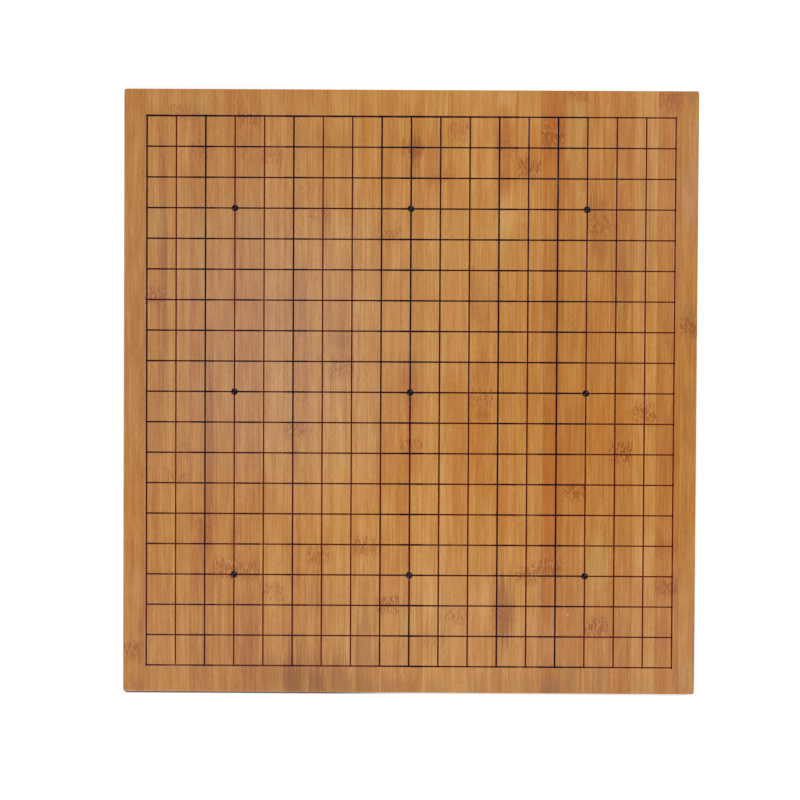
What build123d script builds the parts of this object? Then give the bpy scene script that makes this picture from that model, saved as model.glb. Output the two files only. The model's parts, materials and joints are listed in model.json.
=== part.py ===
from build123d import *
import math
import os

# Weiqi board made from a laminated bamboo panel. Lengthwise strips form a face ply and a back ply,
# glued over a core of strips that run crosswise. The grid is engraved in the face and painted.
# Millimetres: +X across the board, +Y along the face strips, +Z up to the playing face.
# The origin is the middle of the underside.

# Playing grid
LINES_EACH_WAY = 19
SQUARE_WIDTH = 23.0
SQUARE_LENGTH = 24.0
SIDE_MARGIN = 18.0
END_MARGIN = 21.0
STAR_LINE_FROM_EDGE = 4

# Panel
BOARD_THICKNESS = 20.0
FACE_PLY_THICKNESS = 5.0
BACK_PLY_THICKNESS = 5.0
GLUE_FILM_THICKNESS = 0.1
CORNER_RADIUS = 1.5
EDGE_RADIUS = 1.0

# Bamboo strips. In the face and back plies the two outer strips are trimmed, and the pattern of seams
# lies a little off the board's middle.
FACE_STRIPS = 25
BACK_STRIPS = 25
CORE_STRIPS = 79
TRIMMED_STRIP_WIDTH = 14.55
FACE_SEAM_SHIFT = 1.15
BACK_SEAM_SHIFT = -2.9

# Engraving, cut with a pointed cutter for the lines and a ball cutter for the star points
LENGTHWISE_LINE_WIDTH = 1.1
CROSSWISE_LINE_WIDTH = 1.0
CUTTER_POINT_ANGLE = 90.0
LINE_OVERRUN = 0.3
STAR_DIAMETER = 4.8
STAR_DEPTH = 0.8
LINE_PAINT_THICKNESS = 0.08
STAR_PAINT_THICKNESS = 0.15

# Places that follow from the sizes above
BOARD_WIDTH = (LINES_EACH_WAY - 1) * SQUARE_WIDTH + 2 * SIDE_MARGIN
BOARD_LENGTH = (LINES_EACH_WAY - 1) * SQUARE_LENGTH + 2 * END_MARGIN
FACE_Z = BOARD_THICKNESS
UPPER_GLUE_TOP = FACE_Z - FACE_PLY_THICKNESS
CORE_TOP = UPPER_GLUE_TOP - GLUE_FILM_THICKNESS
LOWER_GLUE_TOP = BACK_PLY_THICKNESS + GLUE_FILM_THICKNESS
HALF_POINT_ANGLE = math.radians(CUTTER_POINT_ANGLE / 2)
STAR_BALL_RADIUS = ((STAR_DIAMETER / 2) ** 2 + STAR_DEPTH**2) / (2 * STAR_DEPTH)
STAR_BALL_Z = FACE_Z + STAR_BALL_RADIUS - STAR_DEPTH


def line_places(pitch):
    """Places of the grid lines along one axis, centred on the board."""
    middle = (LINES_EACH_WAY - 1) / 2
    return [(number - middle) * pitch for number in range(LINES_EACH_WAY)]


def star_places(pitch):
    """Places of the three lines that carry star points along one axis."""
    lines = line_places(pitch)
    return [lines[STAR_LINE_FROM_EDGE - 1], lines[len(lines) // 2], lines[-STAR_LINE_FROM_EDGE]]


def strip_edges(length, strips, outer_width, shift):
    """Edges of one ply's strips: equal ones between two outer ones, all seams moved by the shift."""
    inner_width = (length - 2 * outer_width) / (strips - 2)
    first_seam = -length / 2 + outer_width + shift
    seams = [first_seam + number * inner_width for number in range(strips - 1)]
    return [-length / 2, *seams, length / 2]


def slab(low, high):
    """Box between two corners."""
    size = [b - a for a, b in zip(low, high)]
    return Pos(*low) * Box(*size, align=(Align.MIN, Align.MIN, Align.MIN))


def panel_envelope():
    """Outer form of the finished board, corners and edges rounded."""
    block = slab((-BOARD_WIDTH / 2, -BOARD_LENGTH / 2, 0), (BOARD_WIDTH / 2, BOARD_LENGTH / 2, FACE_Z))
    block = fillet(block.edges().filter_by(Axis.Z), CORNER_RADIUS)
    rims = block.faces().filter_by(Axis.Z).edges()
    return fillet(rims, EDGE_RADIUS)


def line_cutter(half_length, width, top):
    """Pointed cutter's path along Y with its half-cone ends, as wide as given at the face."""
    depth = width / 2 / math.tan(HALF_POINT_ANGLE)
    half_top = width / 2 + (top - FACE_Z) * math.tan(HALF_POINT_ANGLE)
    tip = FACE_Z - depth
    outline = make_face(Polyline((-half_top, top), (half_top, top), (0, tip), close=True))
    groove = extrude(Plane.XZ * outline, half_length, both=True)
    end = Pos(0, 0, tip) * Cone(0, half_top, top - tip, align=(Align.CENTER, Align.CENTER, Align.MIN))
    return groove + Pos(0, half_length, 0) * end + Pos(0, -half_length, 0) * end


def line_cutters(inset, top):
    """Cutters of all grid lines, lengthwise then crosswise, drawn in by the inset on each side."""
    half_length = line_places(SQUARE_LENGTH)[-1] + LINE_OVERRUN
    half_width = line_places(SQUARE_WIDTH)[-1] + LINE_OVERRUN
    lengthwise = line_cutter(half_length, LENGTHWISE_LINE_WIDTH - 2 * inset, top)
    crosswise = Rot(0, 0, 90) * line_cutter(half_width, CROSSWISE_LINE_WIDTH - 2 * inset, top)
    columns = [Pos(x, 0, 0) * lengthwise for x in line_places(SQUARE_WIDTH)]
    rows = [Pos(0, y, 0) * crosswise for y in line_places(SQUARE_LENGTH)]
    return columns + rows


def star_balls(inset):
    """Ball cutter at every star point, smaller by the inset."""
    ball = Sphere(STAR_BALL_RADIUS - inset)
    return [
        Pos(x, y, STAR_BALL_Z) * ball
        for x in star_places(SQUARE_WIDTH)
        for y in star_places(SQUARE_LENGTH)
    ]


def with_boxes(cutters):
    """Each cutter with its bounding box."""
    return [(cutter, cutter.bounding_box()) for cutter in cutters]


def near(boxed_cutters, low_x, high_x):
    """Cutters that reach into the stretch between two places across the board."""
    return [cutter for cutter, box in boxed_cutters if box.max.X > low_x and box.min.X < high_x]


def face_strips(envelope, cutters):
    """Strips of the face ply, each with its share of the engraving cut away."""
    edges = strip_edges(BOARD_WIDTH, FACE_STRIPS, TRIMMED_STRIP_WIDTH, FACE_SEAM_SHIFT)
    boxed = with_boxes(cutters)
    strips = []
    for left, right in zip(edges, edges[1:]):
        blank = slab((left, -BOARD_LENGTH / 2, UPPER_GLUE_TOP), (right, BOARD_LENGTH / 2, FACE_Z))
        strips.append((blank & envelope) - near(boxed, left, right))
    return strips


def back_strips(envelope):
    """Strips of the back ply."""
    edges = strip_edges(BOARD_WIDTH, BACK_STRIPS, TRIMMED_STRIP_WIDTH, BACK_SEAM_SHIFT)
    return [
        slab((left, -BOARD_LENGTH / 2, 0), (right, BOARD_LENGTH / 2, BACK_PLY_THICKNESS)) & envelope
        for left, right in zip(edges, edges[1:])
    ]


def core_strips(envelope):
    """Crosswise strips of the core, stood on edge side by side."""
    edges = strip_edges(BOARD_LENGTH, CORE_STRIPS, BOARD_LENGTH / CORE_STRIPS, 0)
    half = BOARD_WIDTH / 2
    return [
        slab((-half, near_end, LOWER_GLUE_TOP), (half, far_end, CORE_TOP)) & envelope
        for near_end, far_end in zip(edges, edges[1:])
    ]


def glue_film(envelope, top):
    """Film of glue between two plies, out to the board's sides."""
    half_width = BOARD_WIDTH / 2
    half_length = BOARD_LENGTH / 2
    film = slab((-half_width, -half_length, top - GLUE_FILM_THICKNESS), (half_width, half_length, top))
    return film & envelope


def grid_line_paint(inner_cutters):
    """Paint that lines the grid's grooves, in one piece up to the star points."""
    filled = Part() + line_cutters(0, FACE_Z)
    return filled - (inner_cutters + star_balls(0))


def star_point_paint(inner_cutters):
    """Paint that lines the star points' hollows, open where a groove runs in."""
    half_width = BOARD_WIDTH / 2
    half_length = BOARD_LENGTH / 2
    below_face = slab((-half_width, -half_length, 0), (half_width, half_length, FACE_Z))
    boxed = with_boxes(inner_cutters)
    linings = []
    for ball, hollow in zip(star_balls(0), star_balls(STAR_PAINT_THICKNESS)):
        box = ball.bounding_box()
        linings.append((ball & below_face) - ([hollow] + near(boxed, box.min.X, box.max.X)))
    return linings


def write_node(name, solids):
    """Writes one node's solids to its own file."""
    shape = solids[0] if len(solids) == 1 else Compound(children=list(solids))
    shape.label = name
    export_step(shape, f"parts/{name}.step")


def main():
    os.makedirs("parts", exist_ok=True)
    envelope = panel_envelope()
    clear_above = FACE_Z + STAR_DEPTH
    wall_inset = LINE_PAINT_THICKNESS / math.cos(HALF_POINT_ANGLE)
    wood_cutters = line_cutters(0, clear_above) + star_balls(0)
    inner_cutters = line_cutters(wall_inset, clear_above)
    for number, strip in enumerate(face_strips(envelope, wood_cutters), start=1):
        write_node(f"face_strip_{number:02d}", strip.solids())
    for number, strip in enumerate(back_strips(envelope), start=1):
        write_node(f"back_strip_{number:02d}", strip.solids())
    core = [solid for strip in core_strips(envelope) for solid in strip.solids()]
    write_node("core_strips", core)
    write_node("upper_glue_film", glue_film(envelope, UPPER_GLUE_TOP).solids())
    write_node("lower_glue_film", glue_film(envelope, LOWER_GLUE_TOP).solids())
    write_node("grid_line_paint", grid_line_paint(inner_cutters).solids())
    stars = [solid for lining in star_point_paint(inner_cutters) for solid in lining.solids()]
    write_node("star_point_paint", stars)


main()
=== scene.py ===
"""Finish of a laminated bamboo weiqi board, laid out as an add-on around the board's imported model.

The plies, the core and the paint in the grooves keep the model's own shapes and get procedural
materials. The paint in the nine star points is modelled finer than in the model and takes its place.
Metres: +X across the board, +Y along the face strips, +Z up to the playing face, the origin at the
middle of the underside. Names that end in _MM hold millimetres.
"""

import json
import math
import random
from typing import NamedTuple

import bpy
from mathutils import Euler, Matrix, Vector
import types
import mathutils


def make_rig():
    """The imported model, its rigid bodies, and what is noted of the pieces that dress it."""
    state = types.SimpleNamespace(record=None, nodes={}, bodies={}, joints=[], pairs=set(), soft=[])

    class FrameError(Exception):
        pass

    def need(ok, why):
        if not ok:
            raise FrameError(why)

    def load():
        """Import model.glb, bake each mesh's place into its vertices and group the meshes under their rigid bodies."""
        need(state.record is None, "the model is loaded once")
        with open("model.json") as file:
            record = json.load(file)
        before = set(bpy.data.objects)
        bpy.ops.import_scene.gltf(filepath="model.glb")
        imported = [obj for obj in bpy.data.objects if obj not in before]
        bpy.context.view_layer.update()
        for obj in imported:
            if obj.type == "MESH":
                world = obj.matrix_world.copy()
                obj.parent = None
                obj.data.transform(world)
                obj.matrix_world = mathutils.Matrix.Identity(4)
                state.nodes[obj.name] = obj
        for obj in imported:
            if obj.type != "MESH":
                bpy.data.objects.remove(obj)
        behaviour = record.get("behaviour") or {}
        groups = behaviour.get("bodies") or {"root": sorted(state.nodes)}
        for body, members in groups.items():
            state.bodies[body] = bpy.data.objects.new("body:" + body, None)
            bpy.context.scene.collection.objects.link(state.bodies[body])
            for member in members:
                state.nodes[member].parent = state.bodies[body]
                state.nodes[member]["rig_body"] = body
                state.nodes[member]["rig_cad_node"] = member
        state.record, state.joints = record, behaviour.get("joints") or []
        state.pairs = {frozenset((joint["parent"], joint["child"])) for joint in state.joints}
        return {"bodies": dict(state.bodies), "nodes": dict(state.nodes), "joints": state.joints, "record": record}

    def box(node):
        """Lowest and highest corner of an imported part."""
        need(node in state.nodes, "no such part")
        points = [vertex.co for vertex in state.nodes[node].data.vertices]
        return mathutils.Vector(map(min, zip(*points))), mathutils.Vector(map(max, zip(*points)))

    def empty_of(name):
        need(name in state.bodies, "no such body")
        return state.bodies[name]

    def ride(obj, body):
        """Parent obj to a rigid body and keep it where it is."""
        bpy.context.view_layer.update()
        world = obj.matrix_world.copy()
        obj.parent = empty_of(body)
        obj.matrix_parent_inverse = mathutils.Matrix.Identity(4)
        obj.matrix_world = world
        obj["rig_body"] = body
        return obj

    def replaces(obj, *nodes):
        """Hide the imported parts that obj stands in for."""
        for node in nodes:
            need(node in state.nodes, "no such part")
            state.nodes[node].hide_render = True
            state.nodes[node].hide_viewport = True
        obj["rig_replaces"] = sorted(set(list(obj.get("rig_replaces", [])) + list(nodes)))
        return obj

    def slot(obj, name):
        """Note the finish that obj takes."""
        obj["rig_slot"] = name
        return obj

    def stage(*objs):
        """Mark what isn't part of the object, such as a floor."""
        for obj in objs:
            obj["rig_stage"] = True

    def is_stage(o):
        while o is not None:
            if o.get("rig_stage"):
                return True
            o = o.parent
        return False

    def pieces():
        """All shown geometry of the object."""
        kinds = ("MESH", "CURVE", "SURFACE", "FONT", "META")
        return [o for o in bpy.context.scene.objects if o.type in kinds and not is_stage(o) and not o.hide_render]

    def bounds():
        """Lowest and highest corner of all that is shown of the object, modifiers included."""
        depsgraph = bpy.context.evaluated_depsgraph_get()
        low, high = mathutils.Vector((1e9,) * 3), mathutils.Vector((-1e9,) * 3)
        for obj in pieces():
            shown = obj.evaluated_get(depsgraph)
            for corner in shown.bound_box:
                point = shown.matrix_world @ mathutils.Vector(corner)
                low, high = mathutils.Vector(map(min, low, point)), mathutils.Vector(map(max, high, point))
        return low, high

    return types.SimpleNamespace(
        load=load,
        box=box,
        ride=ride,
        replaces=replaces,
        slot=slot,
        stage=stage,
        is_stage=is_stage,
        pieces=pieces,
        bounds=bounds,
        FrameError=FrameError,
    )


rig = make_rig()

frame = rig.load()
CAD_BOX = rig.bounds()

bl_info = {
    "name": "Weiqi Board",
    "version": (1, 0, 0),
    "blender": (4, 5, 0),
    "location": "View3D > Sidebar > Weiqi Board",
    "description": "Finishes a laminated bamboo weiqi board and sets it on a pale floor",
    "category": "Object",
}

MM = 0.001
PER_METRE = (1000.0, 1000.0, 1000.0)
SIZE_FILE = "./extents.json"

# Board, as the model gives it
BOARD_LOW, BOARD_HIGH = CAD_BOX
FACE_Z = BOARD_HIGH[2]
HALF_WIDTH = (BOARD_HIGH[0] - BOARD_LOW[0]) / 2
HALF_LENGTH = (BOARD_HIGH[1] - BOARD_LOW[1]) / 2
FACE_STRIPS = sorted(name for name in frame["nodes"] if name.startswith("face_strip_"))
BACK_STRIPS = sorted(name for name in frame["nodes"] if name.startswith("back_strip_"))

# Playing grid
SQUARE_WIDTH_MM = 23.0
SQUARE_LENGTH_MM = 24.0
MIDDLE_LINE = 9
GROOVE_WIDTH_MM = 1.05
STAR_LINES = (-6, 0, 6)

# How light each face strip is, from the left: 0 is the middle tone
FACE_TONES = (
    -0.5, -0.2, -0.1, -0.4, -0.3, -0.5, 0.1, -0.15, 0.0, 0.3, 0.3, 0.2, 0.2,
    0.7, 0.6, 0.5, 0.25, 0.4, -0.8, -0.05, 0.0, -0.25, 0.8, -0.35, -0.2,
)

# How warm each face strip is: 0 has no reddish streaks, 1 has the most
FACE_WARMTH = (
    0.1, 0.2, 0.1, 0.2, 0.1, 0.3, 0.1, 0.1, 0.1, 0.2, 0.2, 0.3, 0.35,
    0.2, 0.35, 0.4, 0.5, 0.4, 0.7, 0.55, 0.6, 0.7, 0.4, 0.55, 0.1,
)

# How much paint stays in the crosswise grooves of each face strip: 0 where the wood drank it thin, 1
# where it lies thick
FACE_PAINT = (
    0.65, 0.9, 0.55, 1.0, 0.5, 0.95, 0.43, 0.93, 0.5, 0.67, 0.57, 0.93, 1.25,
    0.85, 0.7, 0.67, 1.07, 0.65, 1.15, 0.92, 0.45, 0.6, 0.3, 0.22, 0.22,
)

# How thick the paint lies in each lengthwise groove, from the left
LINE_PAINT = (
    0.8, 0.2, 0.86, 0.22, 0.1, 0.8, 0.2, 0.3, 0.84, 1.0, 0.68, 0.5, 0.96, 0.54, 1.08, 0.42,
    0.42, 0.26, 0.1,
)

# Knuckles of the face strips, by the strip's number from the left: place along the strip from the
# board's middle, half length, and how dark its strokes are from 0 to 1
FACE_KNUCKLES_MM = {
    1: [(-205, 9, 0.8)],
    2: [(74, 8, 0.85)],
    3: [(219, 6, 0.5), (-68, 6, 0.45)],
    4: [(190, 7, 0.5), (-102, 8, 0.4)],
    5: [(-140, 9, 0.9)],
    6: [(213, 7, 0.75), (-141, 8, 0.65)],
    7: [(185, 7, 0.5), (-158, 8, 0.55)],
    8: [(-30, 7, 0.65)],
    9: [(138, 7, 0.45), (-128, 8, 0.6)],
    10: [(20, 10, 0.6)],
    11: [(-121, 8, 0.75)],
    12: [(123, 8, 0.5), (-167, 7, 0.85)],
    13: [(191, 8, 0.6), (-41, 6, 0.65)],
    14: [(170, 7, 0.45), (-194, 7, 0.35)],
    15: [(205, 8, 0.55), (-176, 7, 0.6)],
    16: [(-4, 8, 0.65)],
    17: [(190, 8, 0.5), (-174, 8, 0.55)],
    18: [(177, 8, 0.8), (-142, 8, 0.75)],
    19: [(202, 11, 0.9), (-137, 9, 0.8)],
    20: [(234, 5, 0.6), (-78, 7, 0.95)],
    21: [(132, 8, 0.7), (-184, 8, 0.85)],
    22: [(-46, 10, 0.95)],
    23: [(-15, 9, 0.75)],
    24: [(231, 8, 0.7), (-152, 9, 0.75), (-120, 6, 0.4)],
    25: [(53, 8, 0.95)],
}


class Stain(NamedTuple):
    """One stain of a face strip, with places and sizes in millimetres from the board's middle."""

    along: float
    half_length: float
    strength: float
    kind: str
    half_width: float = 9
    across: float | None = None


# Stains of the face strips, by the strip's number from the left: place along the board, half length,
# strength from 0 to 1, kind, and where they differ from the strip's, half width and place across
# Most rows placed beyond about -215 mm along darken the strips towards the near end of the board.
FACE_STAINS_MM = {
    1: [(-236, 12, 0.25, "brown"), (-150, 26, 0.15, "pale"), (60, 90, 0.1, "brown")],
    2: [
        (-40, 60, 0.14, "brown"), (75, 30, 0.12, "amber"), (110, 150, 0.35, "brown", 5, -194),
        (234, 12, 0.2, "pale"), (130, 24, 0.15, "sand"),
    ],
    4: [
        (-45, 100, 0.45, "brown", 4.5, -157), (-112, 16, 0.45, "brown", 6, -161),
        (-138, 34, 0.42, "orange", 10), (-215, 30, 0.25, "brown"), (-124, 40, 0.14, "amber"),
        (228, 12, 0.25, "sand"), (120, 40, 0.15, "sand"),
    ],
    5: [(50, 36, 0.2, "orange"), (-232, 14, 0.15, "brown")],
    6: [(-200, 50, 0.3, "brown", 10), (45, 40, 0.15, "orange"), (132, 26, 0.22, "sand")],
    7: [(-222, 22, 0.3, "brown", 10), (55, 20, 0.12, "brown")],
    8: [
        (-225, 32, 0.58, "brown", 11), (70, 40, 0.17, "brown"), (-232, 18, 0.28, "olive", 10),
        (-88, 28, 0.15, "pale"),
    ],
    9: [
        (-226, 30, 0.6, "brown", 11), (-160, 24, 0.22, "brown"), (-232, 18, 0.3, "olive", 10),
        (-78, 34, 0.16, "pale"),
    ],
    10: [
        (40, 9, 0.3, "brown", 8), (60, 40, 0.2, "orange"), (190, 24, 0.12, "brown"),
        (-226, 24, 0.42, "brown", 10), (-232, 18, 0.28, "olive", 10), (38, 40, 0.12, "brown"),
        (-225, 20, 0.12, "amber", 10),
    ],
    11: [
        (-195, 36, 0.32, "purple", 9, -35.5), (205, 26, 0.2, "orange"),
        (-236, 13, 0.42, "brown", 10), (-225, 24, 0.18, "olive", 10), (-155, 14, 0.14, "brown"),
        (-50, 34, 0.14, "pale"), (-222, 24, 0.15, "amber", 10),
    ],
    12: [(-234, 12, 0.28, "brown", 10), (200, 40, 0.2, "orange", 10), (-48, 36, 0.2, "amber", 10)],
    13: [
        (190, 15, 0.6, "brown", 6, 4), (174, 9, 0.25, "brown"), (0, 28, 0.4, "red"),
        (-52, 16, 0.35, "red", 8), (-40, 40, 0.3, "amber"), (-234, 12, 0.25, "brown"),
        (232, 12, 0.2, "pale"), (-183, 12, 0.25, "sand"), (24, 18, 0.16, "brown"),
    ],
    14: [
        (190, 34, 0.36, "orange", 10), (232, 10, 0.1, "brown", 10), (-170, 34, 0.15, "pale"),
        (-234, 12, 0.2, "brown", 10),
    ],
    15: [
        (-45, 110, 0.22, "orange", 10), (-10, 44, 0.28, "amber", 10), (140, 20, 0.1, "brown", 10),
        (-75, 40, 0.12, "amber"), (-185, 24, 0.14, "pale"),
    ],
    16: [
        (-17, 6, 0.45, "brown"), (15, 17, 0.4, "orange"), (70, 30, 0.2, "brown"),
        (-60, 70, 0.18, "orange", 10), (-30, 60, 0.22, "amber", 10), (-168, 30, 0.25, "pale"),
        (-232, 12, 0.25, "brown", 10), (200, 16, 0.2, "amber"),
    ],
    17: [
        (130, 26, 0.2, "sand"), (206, 12, 0.3, "amber"), (200, 15, 0.4, "orange"),
        (176, 26, 0.3, "amber"), (168, 12, 0.2, "orange"), (138, 20, 0.38, "pale"),
        (231, 9, 0.3, "pale"), (-20, 100, 0.14, "orange", 10), (-105, 40, 0.2, "amber", 10),
        (-170, 34, 0.58, "brown"), (-232, 12, 0.2, "brown", 10),
    ],
    18: [
        (-183, 14, 0.22, "pale"), (-85, 24, 0.14, "pale"), (176, 14, 0.35, "orange"),
        (186, 26, 0.3, "amber"), (0, 26, 0.2, "orange", 10), (-20, 40, 0.16, "amber", 10),
        (-232, 12, 0.2, "brown", 10),
    ],
    19: [
        (206, 15, 0.65, "amber"), (-121, 14, 0.25, "orange"), (205, 26, 0.45, "orange"),
        (190, 34, 0.4, "amber"), (0, 230, 0.35, "pale", 1.3, 102.8), (-75, 60, 0.25, "amber"),
        (65, 28, 0.14, "brown"), (-70, 36, 0.1, "orange"), (-196, 24, 0.2, "pale"),
        (-234, 12, 0.4, "grey", 10),
    ],
    20: [
        (205, 40, 0.22, "sand"), (2, 20, 0.2, "amber"), (-52, 50, 0.3, "orange"),
        (-18, 16, 0.2, "brown"), (40, 26, 0.14, "brown"), (-60, 56, 0.2, "amber", 10),
        (-226, 22, 0.3, "grey"),
    ],
    21: [
        (-137, 26, 0.25, "sand"), (115, 18, 0.3, "brown", 8, 147), (145, 13, 0.4, "brown", 9, 147),
        (-48, 30, 0.22, "orange"), (-30, 40, 0.22, "amber", 10), (20, 20, 0.1, "brown"),
        (-226, 22, 0.2, "grey", 10),
    ],
    22: [
        (-30, 14, 0.28, "brown", 8), (85, 60, 0.28, "brown", 10), (190, 40, 0.2, "orange", 10),
        (-25, 40, 0.25, "amber", 10), (15, 20, 0.14, "brown", 10), (-182, 16, 0.14, "brown"),
    ],
    23: [
        (130, 60, 0.2, "brown"), (-125, 36, 0.2, "pale"), (-232, 12, 0.15, "brown", 10),
        (185, 40, 0.18, "amber", 10),
    ],
    24: [
        (-40, 40, 0.2, "brown"), (-190, 24, 0.25, "orange"), (230, 13, 0.3, "amber"),
        (230, 12, 0.24, "brown"), (-64, 40, 0.14, "orange"), (50, 34, 0.16, "brown", 10),
        (190, 34, 0.16, "amber", 10),
    ],
    25: [
        (155, 34, 0.2, "ash", 8), (-222, 20, 0.16, "ash"), (-33, 16, 0.2, "brown"),
        (57, 20, 0.35, "grey", 7), (-225, 13, 0.6, "brown", 0.35, 220),
        (210, 16, 0.5, "brown", 0.35, 220), (-5, 30, 0.2, "brown"), (234, 10, 0.3, "brown"),
    ],
}

# Pale specks in the varnish: place across and along the board, and half size
SPECKS_MM = {
    2: [(-193, -144, 0.6)],
    14: [(20, 52, 0.35), (26, -28, 0.35)],
    15: [(31.7, -28.7, 0.6)],
    16: [(50, -22, 0.6)],
    17: [(76.7, -54.7, 0.6)],
    20: [(125, -175, 0.7)],
}

# Knuckles of the back strips: how far apart they lie along the bamboo, their half length, and how
# dark their strokes are
KNUCKLE_SPACING_MM = (210, 340)
BACK_KNUCKLE_HALF_MM = (6, 9)
BACK_KNUCKLE_STRENGTH = (0.35, 0.9)

# Back strips: how far their tones spread, and the most that their warmth can be
BACK_SEED = 41
BACK_TONE_SPREAD = 0.4
BACK_WARMTH = 0.8

# Core strips: width, the darkest tone and how far the tones spread from it, and warmth
CORE_STRIP_MM = 6.0
CORE_DARKEST = -1.3
CORE_TONE_SPREAD = 2.4
CORE_WARMTH = 0.4

# Grain: width, length, detail and weight of each layer of streaks
GRAIN_LAYERS_MM = (
    (9, 300, 1, 0.8), (3.2, 150, 1, 0.65), (1.1, 90, 1, 1.1), (0.5, 75, 0, 0.55), (0.55, 16, 0, 0.7),
    (0.5, 3.4, 0, 1.05), (7, 34, 1, 1.3),
)

# Grain: size and reach of the slow sway of the fibres, and size and darkness of their bundles
SWAY_SIZE_MM = (40, 160)
SWAY_MM = 2.0
BUNDLE_SIZE_MM = (1.3, 160, 0.9)
BUNDLE_DARKNESS = 0.34

# Level of the middle tone between dark at 0 and light at 1, and how far one step of tone lifts it
MIDDLE_LEVEL = 0.56
TONE_STEP = 0.22

# Knuckles: how ragged their ends are, how far they bend the fibres, and how dark the wood between
# their strokes is
KNUCKLE_RAGGEDNESS = 6 * MM
KNUCKLE_BEND_MM = 3.0
KNUCKLE_GROUND = 0.05

# Stains and specks: how ragged they are, and how strong a speck is
STAIN_RAGGEDNESS = 2.4
SPECK_RAGGEDNESS = 0.2
SPECK_STRENGTH = 0.5

# Glue at the strips' edges, relief of the fibres and of the glue films, and varnish
STRIP_SEAM_STRENGTH = 0.32
CORE_SEAM_STRENGTH = 0.7
FIBRE_RELIEF_MM = 0.012
GLUE_RELIEF_MM = 0.01
VARNISH_IOR = 1.5

# Wood under the varnish: roughness of its lowest and of its highest fibres, and how much it reflects
WOOD_ROUGHNESS = (0.5, 0.4)
WOOD_REFLECTION = 0.1

# Worn outer edges: strength, where the wear fades out with the way from the edge, how ragged it is,
# how much roughness it adds, and how much of the varnish it takes
EDGE_WEAR = 0.12
EDGE_WEAR_FADE = (0.6 * MM, 1.8 * MM)
EDGE_WEAR_RAGGEDNESS = 2.2 * MM
WORN_ROUGHNESS = 0.25
WORN_VARNISH = 0.6

# Painted highlight beside the lengthwise grooves, standing in for light off the groove walls: width,
# strength, and where it grows towards the far right
RIM_HIGHLIGHT_WIDTH_MM = 0.4
RIM_HIGHLIGHT_STRENGTH = 0.45
RIM_HIGHLIGHT_GROWTH = (130 * MM, 260 * MM)

# Paint beside the farthest crosswise line, which was painted twice: how much more of it there is, how
# far from the line, and where across the board the second coat ends
SECOND_COAT = 0.9
SECOND_COAT_REACH = 3 * MM
SECOND_COAT_END = (30 * MM, 100 * MM)

# How much more paint there is beside the lengthwise lines
LENGTHWISE_EXTRA = 0.18

# Paint: relief of the brush strokes, roughness where it lies thin and thick, and of its gloss
BRUSH_RELIEF_MM = 0.01
PAINT_ROUGHNESS = (0.42, 0.24)
PAINT_COAT_ROUGHNESS = 0.25

# Paint: where it grows thinner towards the near end and how much, where a pool at a crossing fades
# out, how much a pool holds on the left and at the right ends, and where those start
NEAR_END = (-80 * MM, 30 * MM)
NEAR_END_COVER = -0.42
POOL_FADE = (0.4 * MM, 1.4 * MM)
POOL_COVER = (0.18, 1.2)
RIGHT_ENDS = (195 * MM, 200 * MM)

# Painted sheen on the paint, standing in for the haze that it reflects: strength at the far right and
# at the near left, and where each of them changes
FAR_RIGHT_PAINTED_SHEEN = 0.01
FAR_RIGHT_RISE = (-20 * MM, 260 * MM)
NEAR_LEFT_PAINTED_SHEEN = 0.04
NEAR_LEFT_FADE = (-420 * MM, -200 * MM)

# Star points: sides and steps of the lathed dish, distance at which its points are welded, angle up
# to which its faces shade smoothly, and the bars that cut the grooves out of it
STAR_RING_VERTICES = 64
STAR_ARC_STEPS = 10
WELD_MM = 0.0001
SMOOTH_DEGREES = 35
BAR_REACH_MM = 2.0
BAR_LENGTH_MM = 12.0

# Floor, in metres: half its size, the radius up to which it is flat, and how it curves up from there
FLOOR_REACH = 6.0
FLOOR_FLAT = 3.6
FLOOR_CURVE = 0.12
FLOOR_CELLS = 24
FLOOR_GAP_MM = 0.2

# Floor beside the board, a painted contact shadow: where it fades out, how far it starts under the
# sides, how much of it is left at the far end and at the right, and where it weakens towards the right
CONTACT_FADE = (3.0 * MM, 4.6 * MM)
SIDE_INSET = 1.6 * MM
CONTACT_AT_FAR_END = 0.12
CONTACT_AT_RIGHT = 0.35
CONTACT_WEAKENS = (-70 * MM, 10 * MM)

# How much the floor is lifted towards white for the eye
WHITE_LIFT = 0.6

# Lamps, in metres
KEY_LAMP_PLACE = (1.5, 1.6, 2.7)
FILL_LAMP_PLACE = (-1.1, -1.7, 2.5)
LAMP_SIZE = (1.3, 1.3)

# Tints of the panels
COOL = (0.1, 0.58, 1.0)
WARM = (1.0, 0.4, 0.0)
PALE = (1.0, 0.85, 0.45)

# Panels high over the board that shine back from the varnish towards the camera: place, size,
# brightness and tint. They light the board itself very little.
PANELS = {
    "bright_panel": ((-0.24, -0.04, 3.0), (0.32, 0.44), 1.5, COOL),
    "left_panel": ((-0.36, 0.0, 3.05), (0.44, 0.95), 0.25, COOL),
    "upper_left_panel": ((-0.367, 0.0985, 3.1), (0.444, 0.753), 0.7, COOL),
    "middle_panel": ((-0.055, 0.008, 3.1), (0.18, 0.44), 0.75, COOL),
    "right_panel": ((0.255, 0.239, 3.05), (0.386, 0.478), 0.25, COOL),
    "near_panel": ((0.05, -0.591, 3.0), (1.3, 0.318), 1.15, COOL),
    "far_panel": ((0.54, 0.4, 3.0), (0.3, 0.6), 0.75, COOL),
    "side_panel": ((0.54, -0.05, 3.05), (0.2, 1.0), 0.3, COOL),
    "top_panel": ((0.19, 0.5, 3.05), (0.56, 0.24), 1.0, PALE),
    "warm_panel": ((-0.063, -0.295, 3.0), (0.432, 0.273), 0.9, WARM),
}

# Spacing of the nodes in the shader editor
NODE_SPACING = 190

# Numbers of the sockets of a mix of colours: its factor, its two colours, and its result
MIX_INPUTS = (0, 6, 7)
MIX_OUTPUT = 2


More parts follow.
